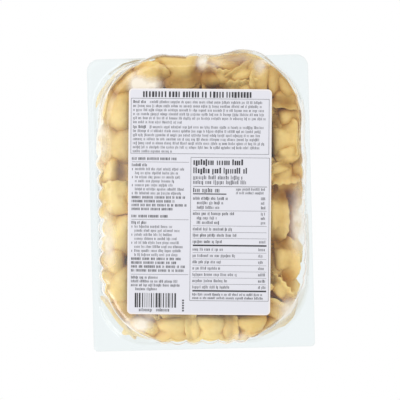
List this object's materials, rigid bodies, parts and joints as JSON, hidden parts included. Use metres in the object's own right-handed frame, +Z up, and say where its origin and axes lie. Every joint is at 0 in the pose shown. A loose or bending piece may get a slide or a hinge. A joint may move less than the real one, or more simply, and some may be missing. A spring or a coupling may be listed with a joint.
{
  "type": "sealed tray of tortellini",
  "caption": "Clear fluted tray of fresh filled pasta, sealed with a film and lying film side down, with a printed information label on its flat panel.",
  "frame": {"origin": "below the middle of the flange, on the underside of the lid film, which is the surface that the pack lies on", "axes": "+Z up from the lid film to the label, +Y to the label's top edge along the pack's long side, +X to the label's right"},
  "size_m": [0.156, 0.206, 0.0365],
  "materials": {
    "lid_film": "clear glossy film, faintly blue green over white",
    "tray": "clear glossy thermoformed sheet with flutes and a few creases",
    "tortellini": "fresh egg pasta dough, pale yellow, slightly moist",
    "label": null
  },
  "bodies": {
    "root": {"lid_film": "lid_film", "tray": "tray", "tortellini": "tortellini", "label": "label"}
  },
  "joints": []
}
